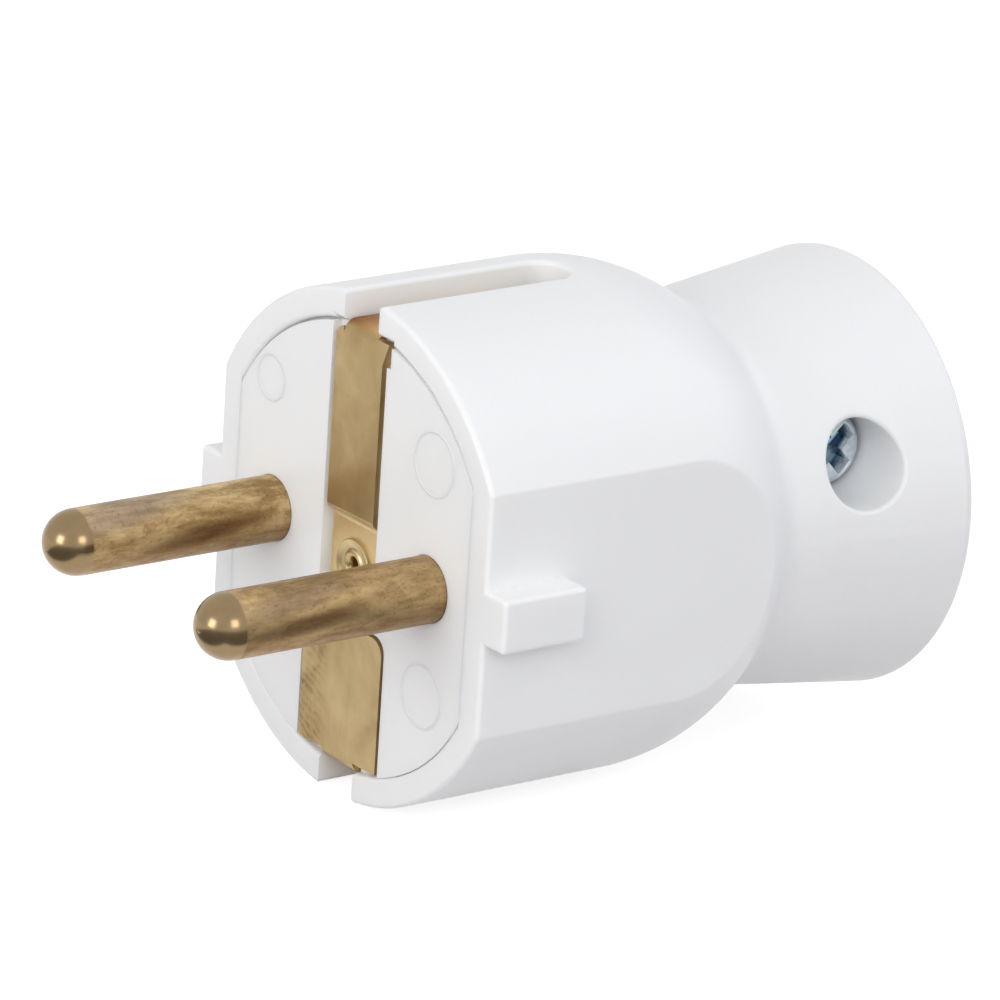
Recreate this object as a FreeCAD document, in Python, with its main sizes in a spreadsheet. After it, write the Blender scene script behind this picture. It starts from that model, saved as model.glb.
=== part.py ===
"""A straight type F mains plug: a moulded housing over a pin carrier, two pins and a folded earth strap.

The origin is the middle of the front face, between the pins. X runs across the pins, Y from the face to the
cord's end, and Z up. The pins point along -Y. Lengths are in millimetres and angles in degrees.
"""
import FreeCAD, Part
import math
import os
import re

import Sketcher

# Driving dimensions
SIZES = {
    # Housing, outside
    "body_radius": 18.55,
    "flat_depth": 2.25,
    "shoulder_start": 17.4,
    "shoulder_radius": 15.0,
    "neck_round": 2.5,
    "collar_taper": 7.7,
    "collar_radius": 16.3,
    "body_length": 43.5,
    "flat_round": 0.5,
    "rim_round": 0.35,
    "collar_round": 0.7,
    "lug_reach": 2.35,
    "lug_length": 7.05,
    "lug_width": 3.95,
    "slot_width": 4.15,
    "slot_length": 17.1,
    "slot_end_round": 1.7,
    # Housing, inside
    "wall": 2.2,
    "ledge": 0.8,
    "chamber_depth": 17.4,
    "cavity_depth": 22.5,
    "cavity_run": 3.5,
    "bore_radius": 11.2,
    "rear_wall": 3.5,
    "inlet_radius": 3.7,
    "inlet_round": 1.0,
    # Housing screw, which runs along X
    "screw_from_end": 8.75,
    "screw_up": 5.2,
    "screw_head_top": 10.0,
    "screw_head_radius": 2.7,
    "screw_head_height": 2.0,
    "screw_radius": 1.3,
    "screw_length": 9.0,
    "access_radius": 3.1,
    "access_round": 0.3,
    "boss_radius": 4.1,
    "boss_face": 6.4,
    "boss_root": 5.0,
    # Pin carrier
    "carrier_clearance": 0.01,
    "carrier_shift_across": 0.1,
    "carrier_shift_down": 0.17,
    "edge_gap_depth": 1.0,
    "plate_thickness": 5.0,
    "rail_inner": 8.2,
    "rail_thickness": 1.8,
    "rail_width": 3.8,
    "clamp_plane": 0.6,
    "block_lead": 1.2,
    "block_end_gap": 1.2,
    "block_clearance": 0.3,
    "post_radius": 2.7,
    "post_clearance": 0.1,
    "partition_place": 4.5,
    "partition_thickness": 1.2,
    "partition_height": 7.5,
    "partition_reach": 10.0,
    # Pins and their terminals
    "pin_radius": 2.4,
    "pin_length": 19.0,
    "pin_neck": 0.1,
    "pin_mouth": 0.15,
    "pin_place": 9.5,
    "pin_shoulder": 0.8,
    "pin_head_length": 9.0,
    "wire_hole_radius": 1.5,
    "wire_hole_depth": 7.0,
    "terminal_back": 5.5,
    "terminal_head_radius": 2.2,
    "terminal_head_height": 1.8,
    "terminal_head_lift": 0.6,
    "terminal_tip": 0.4,
    "thread_radius": 1.45,
    "hole_clearance": 0.04,
    # Earth strap
    "strap_thickness": 0.6,
    "strap_proud": 0.05,
    "strap_recess": 0.6,
    "strap_sink": 0.05,
    "strap_bend": 1.0,
    "strap_crease": 0.7,
    "strap_tab_end": 15.0,
    "strap_tab_width": 3.9,
    "strap_width": 5.6,
    "strap_foot_width": 9.4,
    "strap_step_up": 2.5,
    "strap_step_down": 5.3,
    "strap_shoulder_in": 1.1,
    "strap_ear_in": 0.35,
    "strap_left_ear_in": 0.55,
    "strap_ear_round": 0.8,
    "strap_flare": 0.7,
    "strap_flare_drop": 1.7,
    "strap_foot_in": 0.8,
    "strap_corner": 1.2,
    "strap_gap": 0.25,
    "strap_side_gap": 0.5,
    "strap_bed_gap": 0.15,
    # Earth rivet and terminal
    "rivet_down": 1.4,
    "rivet_radius": 1.3,
    "rivet_hole": 0.8,
    "rivet_flange": 1.9,
    "rivet_flange_height": 0.45,
    "rivet_flange_round": 0.3,
    "bracket_width": 6.0,
    "bracket_thickness": 1.0,
    "bracket_top": 1.6,
    "bracket_leg": 4.5,
    "bracket_reach": 9.0,
    "earth_screw_back": 6.0,
    "earth_screw_length": 4.2,
    "washer_thickness": 1.0,
    "washer_width": 5.6,
    # Cord clamp
    "clamp_gap": 1.1,
    "clamp_width": 5.0,
    "clamp_flange": 2.2,
    "clamp_arch": 1.5,
    "clamp_head_gap": 0.2,
    "clamp_screw_radius": 1.2,
    "clamp_screw_length": 7.6,
    "clamp_head_radius": 2.0,
    "clamp_head_height": 1.8,
    # Driver slots and crosses in the screw heads
    "drive_width": 0.8,
    "drive_depth": 0.9,
    "cross_width": 0.9,
    "cross_length": 3.6,
    "cross_depth": 1.2,
}

doc = FreeCAD.newDocument("type_f_plug")
sheet = doc.addObject("Spreadsheet::Sheet", "sizes")
for row, (alias, number) in enumerate(SIZES.items(), start=1):
    sheet.set(f"A{row}", alias)
    sheet.set(f"B{row}", str(number))
    sheet.setAlias(f"B{row}", alias)
doc.recompute()

# Places that more than one feature uses
FLAT = "(body_radius - flat_depth)"
SCREW_ALONG = "(body_length - screw_from_end)"
BLOCK_END = "(body_length - rear_wall - block_end_gap)"
CLAMP_START = f"({SCREW_ALONG} - post_radius - clamp_gap - clamp_width)"
CLAMP_SCREW_ALONG = f"({CLAMP_START} + clamp_width / 2)"
CLAMP_SCREW_UP = "(inlet_radius + clamp_arch + clamp_head_radius + clamp_head_gap)"
BLOCK_START = f"({CLAMP_START} - block_lead)"
PIN_HEAD = "(pin_radius + pin_shoulder)"
TERMINAL_ALONG = "(plate_thickness + terminal_back)"
EARTH_SCREW_ALONG = "(plate_thickness + earth_screw_back)"
CONTACT = "(body_radius - wall - strap_sink)"
EAR_SHOULDER = f"({CONTACT} - strap_shoulder_in)"
EAR_TOP = f"({CONTACT} - strap_ear_in)"
EAR_SIDE = "(strap_width / 2 + strap_flare + strap_gap)"
BED_SIDE = "(strap_width / 2 + strap_side_gap)"


# Expressions and sketches
def bound(expression):
    """The expression with each size name pointing at its cell."""
    def cell(word):
        return f"sizes.{word[0]}" if word[0] in SIZES else word[0]
    return re.sub(r"[a-z_]+", cell, expression)


def size(expression):
    """The expression's value now."""
    return float(sheet.evalExpression(expression))


def constrain(sketch, kind, *where, to):
    """Add a dimension and bind it to an expression."""
    value = size(to)
    if kind == "Angle":
        value = math.radians(value)
    index = sketch.addConstraint(Sketcher.Constraint(kind, *where, value))
    sketch.setExpression(f"Constraints[{index}]", bound(to))


def new_body(label):
    body = doc.addObject("PartDesign::Body", label)
    body.Label = label
    return body


def new_sketch(body, name, plane, offset=None):
    """A sketch on one of the body's own planes, moved along the plane's normal by an expression."""
    sketch = body.newObject("Sketcher::SketchObject", name)
    support = next(item for item in body.Origin.OriginFeatures if item.Role == plane)
    sketch.AttachmentSupport = (support, [""])
    sketch.MapMode = "FlatFace"
    if offset:
        sketch.setExpression("AttachmentOffset.Base.z", bound(offset))
    return sketch


def tangent_arc(before, corner, after, radius):
    """The arc that rounds a corner, and whether it runs from the first side to the second."""
    back = (before - corner).normalize()
    ahead = (after - corner).normalize()
    half = back.getAngle(ahead) / 2
    reach = radius / math.tan(half)
    centre = corner + (back + ahead).normalize() * (radius / math.sin(half))
    first = corner + back * reach - centre
    second = corner + ahead * reach - centre
    forward = first.cross(second).z > 0
    if not forward:
        first, second = second, first
    circle = Part.Circle(centre, FreeCAD.Vector(0, 0, 1), radius)
    return Part.ArcOfCircle(circle, math.atan2(first.y, first.x), math.atan2(second.y, second.x)), forward


def draw_outline(sketch, corners):
    """A closed outline of straight sides. A corner is (across, up) or (across, up, round), in expressions."""
    places = [FreeCAD.Vector(size(corner[0]), size(corner[1]), 0) for corner in corners]
    count = len(corners)
    sides = [sketch.addGeometry(Part.LineSegment(places[i], places[(i + 1) % count])) for i in range(count)]
    for i, corner in enumerate(corners):
        arriving, leaving = sides[i - 1], sides[i]
        if len(corner) == 2:
            sketch.addConstraint(Sketcher.Constraint("Coincident", arriving, 2, leaving, 1))
            point = leaving
        else:
            arc, forward = tangent_arc(places[i - 1], places[i], places[(i + 1) % count], size(corner[2]))
            bend = sketch.addGeometry(arc)
            near, far = (1, 2) if forward else (2, 1)
            sketch.addConstraint(Sketcher.Constraint("Tangent", arriving, 2, bend, near))
            sketch.addConstraint(Sketcher.Constraint("Tangent", bend, far, leaving, 1))
            constrain(sketch, "Radius", bend, to=corner[2])
            point = sketch.addGeometry(Part.Point(places[i]), True)
            sketch.addConstraint(Sketcher.Constraint("PointOnObject", point, 1, arriving))
            sketch.addConstraint(Sketcher.Constraint("PointOnObject", point, 1, leaving))
        constrain(sketch, "DistanceX", point, 1, to=corner[0])
        constrain(sketch, "DistanceY", point, 1, to=corner[1])


def draw_rectangle(sketch, low_across, high_across, low_up, high_up):
    low_corners = [(low_across, low_up), (high_across, low_up)]
    high_corners = [(high_across, high_up), (low_across, high_up)]
    draw_outline(sketch, low_corners + high_corners)


def draw_circle(sketch, across, up, radius):
    centre = FreeCAD.Vector(size(across), size(up), 0)
    ring = sketch.addGeometry(Part.Circle(centre, FreeCAD.Vector(0, 0, 1), size(radius)))
    constrain(sketch, "DistanceX", ring, 3, to=across)
    constrain(sketch, "DistanceY", ring, 3, to=up)
    constrain(sketch, "Radius", ring, to=radius)


def draw_flatted_circle(sketch, radius, half_width):
    """A circle about the plug's axis with a flat on each side."""
    reach = size(half_width)
    rise = math.acos(reach / size(radius))
    circle = Part.Circle(FreeCAD.Vector(), FreeCAD.Vector(0, 0, 1), size(radius))
    upper = Part.ArcOfCircle(circle, rise, math.pi - rise)
    lower = Part.ArcOfCircle(circle, math.pi + rise, 2 * math.pi - rise)
    left = Part.LineSegment(upper.EndPoint, lower.StartPoint)
    right = Part.LineSegment(lower.EndPoint, upper.StartPoint)
    loop = [sketch.addGeometry(item) for item in (upper, left, lower, right)]
    for item, following in zip(loop, loop[1:] + loop[:1]):
        sketch.addConstraint(Sketcher.Constraint("Coincident", item, 2, following, 1))
    for arc in (loop[0], loop[2]):
        sketch.addConstraint(Sketcher.Constraint("Coincident", arc, 3, -1, 1))
    sketch.addConstraint(Sketcher.Constraint("Equal", loop[0], loop[2]))
    constrain(sketch, "Radius", loop[0], to=radius)
    for side, place in ((loop[1], f"-({half_width})"), (loop[3], half_width)):
        sketch.addConstraint(Sketcher.Constraint("Vertical", side))
        constrain(sketch, "DistanceX", side, 1, to=place)


# Features
LEAST_CHANGE = 1e-3
TOLERANCE = 1e-4


def settle(feature, grows):
    """Recompute, and make sure that the feature really added or removed material."""
    doc.recompute()
    before = feature.BaseFeature.Shape.Volume if feature.BaseFeature else 0.0
    change = feature.Shape.Volume - before
    if (change if grows else -change) < LEAST_CHANGE:
        raise RuntimeError(f"{feature.Name} changed the volume by {change}")


def pad(body, sketch, length, reverse=False, symmetric=False):
    feature = body.newObject("PartDesign::Pad", f"{sketch.Name}_pad")
    feature.Profile = sketch
    feature.setExpression("Length", bound(length))
    feature.Reversed = reverse
    if symmetric:
        feature.SideType = "Symmetric"
    settle(feature, grows=True)


def pocket(body, sketch, length=None, reverse=False, symmetric=False):
    """Cut a sketch into the body, right through where no length is given."""
    feature = body.newObject("PartDesign::Pocket", f"{sketch.Name}_pocket")
    feature.Profile = sketch
    if length:
        feature.setExpression("Length", bound(length))
    else:
        feature.Type = "ThroughAll"
    feature.Reversed = reverse
    if symmetric:
        feature.SideType = "Symmetric"
    settle(feature, grows=False)


def turn(body, sketch, kind):
    """Turn a sketch once round its upright axis, as a Revolution or a Groove."""
    feature = body.newObject(f"PartDesign::{kind}", f"{sketch.Name}_{kind.lower()}")
    feature.Profile = sketch
    feature.ReferenceAxis = (sketch, ["V_Axis"])
    feature.Angle = 360
    settle(feature, grows=kind == "Revolution")


def round_edges(body, radius, wanted):
    """Round the edges of the body's tip for which wanted(edge) is true."""
    base = body.Tip
    names = [f"Edge{i}" for i, edge in enumerate(base.Shape.Edges, start=1) if wanted(edge)]
    feature = body.newObject("PartDesign::Fillet", f"{body.Name}_round")
    feature.Base = (base, names)
    feature.setExpression("Radius", bound(radius))
    doc.recompute()


def lies_at(low, high, expression):
    """Whether an edge that spans from low to high along one axis lies at the expression's value."""
    return max(abs(low - size(expression)), abs(high - size(expression))) < TOLERANCE


# Housing
def draw_housing_profile(sketch):
    """Half the outside: cylinder, rounded shoulder, hollow neck and flared collar, each tangent to the next."""
    radius, start, bulge = size("body_radius"), size("shoulder_start"), size("shoulder_radius")
    hollow, taper = size("neck_round"), math.radians(size("collar_taper"))
    rear = FreeCAD.Vector(size("collar_radius"), size("body_length"), 0)
    along = FreeCAD.Vector(math.sin(taper), math.cos(taper), 0)
    outward = FreeCAD.Vector(math.cos(taper), -math.sin(taper), 0)
    bulge_centre = FreeCAD.Vector(radius - bulge, start, 0)
    offset = rear + outward * hollow - bulge_centre
    run = offset.dot(along)
    slide = math.sqrt(run ** 2 - offset.dot(offset) + (bulge + hollow) ** 2) - run
    hollow_centre = bulge_centre + offset + along * slide
    swing = hollow_centre - bulge_centre
    angle = math.atan2(swing.y, swing.x)
    upward = FreeCAD.Vector(0, 0, 1)
    front_edge = FreeCAD.Vector(radius, 0, 0)
    shapes = [
        Part.LineSegment(FreeCAD.Vector(), front_edge),
        Part.LineSegment(front_edge, FreeCAD.Vector(radius, start, 0)),
        Part.ArcOfCircle(Part.Circle(bulge_centre, upward, bulge), 0, angle),
        Part.ArcOfCircle(Part.Circle(hollow_centre, upward, hollow), math.pi - taper, math.pi + angle),
        Part.LineSegment(hollow_centre - outward * hollow, rear),
        Part.LineSegment(rear, FreeCAD.Vector(0, rear.y, 0)),
        Part.LineSegment(FreeCAD.Vector(0, rear.y, 0), FreeCAD.Vector()),
    ]
    front, side, shoulder, neck, collar, back, axis = [sketch.addGeometry(shape) for shape in shapes]
    for kind, *where in (
        ("Coincident", front, 1, -1, 1), ("Coincident", front, 2, side, 1), ("Tangent", side, 2, shoulder, 1),
        ("Tangent", shoulder, 2, neck, 2), ("Tangent", neck, 1, collar, 1), ("Coincident", collar, 2, back, 1),
        ("Coincident", back, 2, axis, 1), ("Coincident", axis, 2, front, 1),
        ("Horizontal", front), ("Vertical", side), ("Horizontal", back), ("Vertical", axis),
    ):
        sketch.addConstraint(Sketcher.Constraint(kind, *where))
    constrain(sketch, "DistanceX", side, 1, to="body_radius")
    constrain(sketch, "DistanceY", side, 2, to="shoulder_start")
    constrain(sketch, "Radius", shoulder, to="shoulder_radius")
    constrain(sketch, "Radius", neck, to="neck_round")
    constrain(sketch, "Angle", collar, to="90 - collar_taper")
    constrain(sketch, "DistanceX", collar, 2, to="collar_radius")
    constrain(sketch, "DistanceY", collar, 2, to="body_length")


def bounds_a_flat(edge):
    """The outline of a side flat, apart from its front edge."""
    box = edge.BoundBox
    on_flat = any(lies_at(box.XMin, box.XMax, f"{side}{FLAT}") for side in ("", "-"))
    return on_flat and not lies_at(box.YMin, box.YMax, "0")


def bounds_the_outside(edge):
    """The front edge of the outside, the lugs' edges and the mouths of the slots."""
    box = edge.BoundBox
    middle = edge.valueAt(sum(edge.ParameterRange) / 2)
    reach = math.hypot(middle.x, middle.z)
    half_slot = size("slot_width / 2") + TOLERANCE
    if lies_at(box.YMin, box.YMax, "0"):
        return reach > size(FLAT) - TOLERANCE and abs(middle.x) > half_slot
    on_slot = abs(middle.x) < half_slot and abs(reach - size("body_radius")) < TOLERANCE
    on_lug = max(-box.XMin, box.XMax) > size(f"{FLAT} + lug_reach") - TOLERANCE
    return on_slot or on_lug


def rings_the_rear(radius):
    """A test for the rear face's circle of the given radius."""
    def wanted(edge):
        box = edge.BoundBox
        return lies_at(box.YMin, box.YMax, "body_length") and lies_at(box.XMax, box.XMax, radius)
    return wanted


def rings_the_access_hole(edge):
    """The mouth of the screw's hole in the collar."""
    box = edge.BoundBox
    return box.XMin > size("screw_head_top") and lies_at(box.YMax, box.YMax, f"{SCREW_ALONG} + access_radius")


def make_housing():
    body = new_body("housing")
    profile = new_sketch(body, "housing_profile", "XY_Plane")
    draw_housing_profile(profile)
    turn(body, profile, "Revolution")

    flats = new_sketch(body, "housing_flats", "XZ_Plane")
    for side in ("", "-"):
        inner, outer = f"{side}{FLAT}", f"{side}2 * body_radius"
        draw_rectangle(flats, inner, outer, "-body_radius", "body_radius")
    pocket(body, flats)
    round_edges(body, "flat_round", bounds_a_flat)

    lugs = new_sketch(body, "housing_lugs", "XZ_Plane")
    for side in ("", "-"):
        root, tip = f"{side}({FLAT} - wall / 2)", f"{side}({FLAT} + lug_reach)"
        draw_rectangle(lugs, root, tip, "-lug_width / 2", "lug_width / 2")
    pad(body, lugs, "lug_length", reverse=True)

    seat = new_sketch(body, "housing_seat", "XZ_Plane")
    draw_flatted_circle(seat, "body_radius - wall", f"{FLAT} - wall")
    pocket(body, seat, "plate_thickness")

    chamber = new_sketch(body, "housing_chamber", "XZ_Plane")
    draw_flatted_circle(chamber, "body_radius - wall - ledge", f"{FLAT} - wall - ledge")
    pocket(body, chamber, "chamber_depth")

    cavity = new_sketch(body, "housing_cavity", "XY_Plane")
    draw_outline(cavity, [
        ("0", "chamber_depth - ledge"),
        (f"{FLAT} - wall - ledge", "chamber_depth - ledge"),
        (f"{FLAT} - wall - ledge", "cavity_depth"),
        ("bore_radius", "cavity_depth + cavity_run"),
        ("bore_radius", "body_length - rear_wall"),
        ("0", "body_length - rear_wall"),
    ])
    turn(body, cavity, "Groove")

    inlet = new_sketch(body, "housing_inlet", "XZ_Plane")
    draw_circle(inlet, "0", "0", "inlet_radius")
    pocket(body, inlet)

    slots = new_sketch(body, "housing_slots", "XY_Plane")
    draw_outline(slots, [
        ("-slot_width / 2", "-wall"),
        ("slot_width / 2", "-wall"),
        ("slot_width / 2", "slot_length", "slot_end_round"),
        ("-slot_width / 2", "slot_length", "slot_end_round"),
    ])
    pocket(body, slots, "3 * body_radius", symmetric=True)

    relief = new_sketch(body, "housing_ear_relief", "XZ_Plane")
    draw_rectangle(relief, f"-{BED_SIDE}", EAR_SIDE, EAR_SHOULDER, f"{EAR_TOP} + strap_gap")
    pocket(body, relief, "strap_thickness + strap_bed_gap - strap_proud")

    boss = new_sketch(body, "housing_boss", "YZ_Plane", "boss_face")
    draw_circle(boss, SCREW_ALONG, "screw_up", "boss_radius")
    pad(body, boss, "boss_root")

    access = new_sketch(body, "housing_access", "YZ_Plane", "screw_head_top - screw_head_height")
    draw_circle(access, SCREW_ALONG, "screw_up", "access_radius")
    pocket(body, access, "body_radius", reverse=True)

    shank = new_sketch(body, "housing_shank_hole", "YZ_Plane", "boss_face - wall")
    draw_circle(shank, SCREW_ALONG, "screw_up", "screw_radius + 2 * hole_clearance")
    pocket(body, shank, "boss_root + wall", reverse=True)

    round_edges(body, "rim_round", bounds_the_outside)
    round_edges(body, "collar_round", rings_the_rear("collar_radius"))
    round_edges(body, "inlet_round", rings_the_rear("inlet_radius"))
    round_edges(body, "access_round", rings_the_access_hole)
    return body


# Pin carrier
def make_pin_carrier():
    body = new_body("pin_carrier")
    plate = new_sketch(body, "carrier_plate", "XZ_Plane")
    draw_flatted_circle(
        plate, "body_radius - wall - carrier_clearance", f"{FLAT} - wall - carrier_clearance")
    pad(body, plate, "plate_thickness", reverse=True)

    # The insert sits a little low and to one side, which opens a gap along its upper left edge
    edge = new_sketch(body, "carrier_edge_gap", "XZ_Plane")
    draw_circle(edge, "carrier_shift_across", "-carrier_shift_down", "body_radius - wall - carrier_clearance")
    draw_rectangle(edge, "-2 * body_radius", "2 * body_radius", "-2 * body_radius", "2 * body_radius")
    pocket(body, edge, "edge_gap_depth")

    rails = new_sketch(body, "carrier_rails", "XZ_Plane", "-plate_thickness / 2")
    for side in ("", "-"):
        inner, outer = f"{side}rail_inner", f"{side}(rail_inner + rail_thickness)"
        draw_rectangle(rails, "-clamp_plane - rail_width", "-clamp_plane", inner, outer)
    pad(body, rails, f"{BLOCK_END} - plate_thickness / 2", reverse=True)

    block = new_sketch(body, "carrier_block", "XZ_Plane", f"-{BLOCK_START}")
    draw_circle(block, "0", "0", "bore_radius - block_clearance")
    pad(body, block, f"{BLOCK_END} - {BLOCK_START}", reverse=True)
    half = new_sketch(body, "carrier_block_half", "XZ_Plane", f"-{BLOCK_START}")
    draw_rectangle(half, "-clamp_plane", "2 * bore_radius", "-2 * bore_radius", "2 * bore_radius")
    pocket(body, half)

    post = new_sketch(body, "carrier_post", "YZ_Plane", "-2 * clamp_plane")
    draw_circle(post, SCREW_ALONG, "screw_up", "post_radius")
    pad(body, post, "boss_face - post_clearance + 2 * clamp_plane")

    trough = new_sketch(body, "carrier_trough", "XZ_Plane", f"-{BLOCK_START}")
    draw_circle(trough, "0", "0", "inlet_radius")
    pocket(body, trough)

    partitions = new_sketch(body, "carrier_partitions", "XZ_Plane", "-plate_thickness / 2")
    for side in ("", "-"):
        inner, outer = f"{side}partition_place", f"{side}(partition_place + partition_thickness)"
        draw_rectangle(partitions, inner, outer, "-partition_height", "partition_height")
    pad(body, partitions, "partition_reach + plate_thickness / 2", reverse=True)

    pin_holes = new_sketch(body, "carrier_pin_holes", "XZ_Plane")
    for side in ("", "-"):
        draw_circle(pin_holes, f"{side}pin_place", "0", "pin_radius - pin_neck + hole_clearance")
    pocket(body, pin_holes, "plate_thickness")
    pin_mouths = new_sketch(body, "carrier_pin_mouths", "XZ_Plane")
    for side in ("", "-"):
        draw_circle(pin_mouths, f"{side}pin_place", "0", "pin_radius + hole_clearance")
    pocket(body, pin_mouths, "pin_mouth")

    rivet_hole = new_sketch(body, "carrier_rivet_hole", "XZ_Plane")
    draw_circle(rivet_hole, "0", "-rivet_down", "rivet_radius + hole_clearance")
    pocket(body, rivet_hole, "plate_thickness")

    step_room = "strap_thickness + strap_bed_gap"
    upper_bed = new_sketch(body, "carrier_upper_bed", "XZ_Plane")
    draw_rectangle(upper_bed, f"-{BED_SIDE}", BED_SIDE, "-strap_step_down", "body_radius")
    pocket(body, upper_bed, f"{step_room} - strap_proud")
    ear_bed = new_sketch(body, "carrier_ear_bed", "XZ_Plane")
    draw_rectangle(ear_bed, "0", EAR_SIDE, f"{EAR_TOP} - strap_flare_drop", "body_radius")
    pocket(body, ear_bed, f"{step_room} - strap_proud")
    foot_bed = new_sketch(body, "carrier_foot_bed", "XZ_Plane")
    foot_side = "(strap_foot_width / 2 + strap_gap)"
    draw_outline(foot_bed, [
        (f"-{foot_side}", "-body_radius"),
        (foot_side, "-body_radius"),
        (foot_side, "-strap_step_down", "strap_corner"),
        (f"-{foot_side}", "-strap_step_down", "strap_corner"),
    ])
    pocket(body, foot_bed, f"{step_room} - strap_proud")
    middle_bed = new_sketch(body, "carrier_middle_bed", "XZ_Plane")
    middle_low, middle_high = "-strap_step_down - strap_thickness", "strap_step_up + strap_thickness"
    draw_rectangle(middle_bed, f"-{BED_SIDE}", BED_SIDE, middle_low, middle_high)
    pocket(body, middle_bed, "strap_recess + strap_thickness")

    tabs = new_sketch(body, "carrier_tab_notches", "XZ_Plane")
    for side in ("", "-"):
        inner = f"{side}({CONTACT} - strap_thickness - strap_bed_gap)"
        draw_rectangle(tabs, "-slot_width / 2", "slot_width / 2", inner, f"{side}body_radius")
    pocket(body, tabs, "plate_thickness")

    screw_hole = new_sketch(body, "carrier_screw_hole", "YZ_Plane", "boss_face")
    draw_circle(screw_hole, SCREW_ALONG, "screw_up", "screw_radius + hole_clearance")
    pocket(body, screw_hole, "screw_length + clamp_plane")

    clamp_holes = new_sketch(body, "carrier_clamp_holes", "YZ_Plane", "0")
    for side in ("", "-"):
        draw_circle(
            clamp_holes, CLAMP_SCREW_ALONG, f"{side}{CLAMP_SCREW_UP}", "clamp_screw_radius + hole_clearance")
    pocket(body, clamp_holes, "clamp_screw_length")
    return body


# Earth strap
def make_earth_strap():
    """One folded strip: tab, bend, plate, step, riveted middle, step, foot plate, bend, tab."""
    body = new_body("earth_strap")
    front, back = "-strap_proud", "strap_thickness - strap_proud"
    sunk, sunk_back = "strap_recess", "strap_recess + strap_thickness"
    drop = "strap_recess + strap_proud"
    mitre = "(sqrt(2) - 1) * strap_thickness"
    tip, inner = CONTACT, f"{CONTACT} - strap_thickness"
    inside_bend = "strap_bend - strap_thickness"
    inside_crease = "strap_crease - strap_thickness / 2"
    side = new_sketch(body, "strap_side", "YZ_Plane")
    draw_outline(side, [
        ("strap_tab_end", tip),
        (front, tip, "strap_bend"),
        (front, "strap_step_up", inside_crease),
        (sunk, f"strap_step_up - ({drop})", inside_crease),
        (sunk, f"-strap_step_down + {drop}", inside_crease),
        (front, "-strap_step_down", inside_crease),
        (front, f"-({tip})", "strap_bend"),
        ("strap_tab_end", f"-({tip})"),
        ("strap_tab_end", f"-({inner})"),
        (back, f"-({inner})", inside_bend),
        (back, f"-strap_step_down - {mitre}"),
        (sunk_back, f"-strap_step_down + {drop} - {mitre}"),
        (sunk_back, f"strap_step_up - ({drop}) + {mitre}"),
        (back, f"strap_step_up + {mitre}"),
        (back, inner, inside_bend),
        ("strap_tab_end", inner),
    ])
    pad(body, side, "2 * strap_foot_width", symmetric=True)

    plan = new_sketch(body, "strap_plan", "XZ_Plane", "2 * strap_bend")
    tab, plate, foot = "strap_tab_width / 2", "strap_width / 2", "strap_foot_width / 2"
    far = "body_radius"
    half = [
        (tab, far),
        (tab, EAR_SHOULDER),
        (plate, EAR_SHOULDER),
        (plate, f"-strap_step_down - {mitre}"),
        (foot, f"-strap_step_down - {mitre}", "strap_corner"),
        (foot, f"strap_foot_in - {CONTACT}"),
        (tab, f"strap_foot_in - {CONTACT}"),
        (tab, f"-{far}"),
    ]
    other = [(f"-({corner[0]})", *corner[1:]) for corner in reversed(half)]
    draw_outline(plan, half + other)
    draw_rectangle(plan, "-2 * strap_foot_width", "2 * strap_foot_width", f"-2 * {far}", f"2 * {far}")
    pocket(body, plan)

    ears = new_sketch(body, "strap_ears", "XZ_Plane", "strap_proud")
    low, high, left_high = f"{EAR_TOP} - strap_flare_drop", EAR_TOP, f"{CONTACT} - strap_left_ear_in"
    draw_outline(ears, [
        (tab, low),
        (plate, low),
        (f"{plate} + strap_flare", high),
        (tab, high),
    ])
    draw_outline(ears, [
        (f"-({tab})", low),
        (f"-({tab})", left_high),
        (f"-({plate})", left_high, "strap_ear_round"),
        (f"-({plate})", low),
    ])
    pad(body, ears, "strap_thickness", reverse=True)

    hole = new_sketch(body, "strap_rivet_hole", "XZ_Plane")
    draw_circle(hole, "0", "-rivet_down", "rivet_radius + hole_clearance")
    pocket(body, hole)
    return body


# Earth rivet and terminal
def make_earth_rivet():
    """A hollow rivet through the strap, the carrier and the earth terminal."""
    body = new_body("earth_rivet")
    front, back = "strap_recess", "plate_thickness + bracket_thickness"
    section = new_sketch(body, "rivet_section", "XY_Plane")
    draw_outline(section, [
        ("rivet_hole", f"{front} - rivet_flange_height", "rivet_flange_round"),
        ("rivet_flange", f"{front} - rivet_flange_height", "rivet_flange_round"),
        ("rivet_flange", front),
        ("rivet_radius", front),
        ("rivet_radius", back),
        ("rivet_flange", back),
        ("rivet_flange", f"{back} + rivet_flange_height", "rivet_flange_round"),
        ("rivet_hole", f"{back} + rivet_flange_height", "rivet_flange_round"),
    ])
    turn(body, section, "Revolution")
    body.setExpression("Placement.Base.z", bound("-rivet_down"))
    return body


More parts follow.
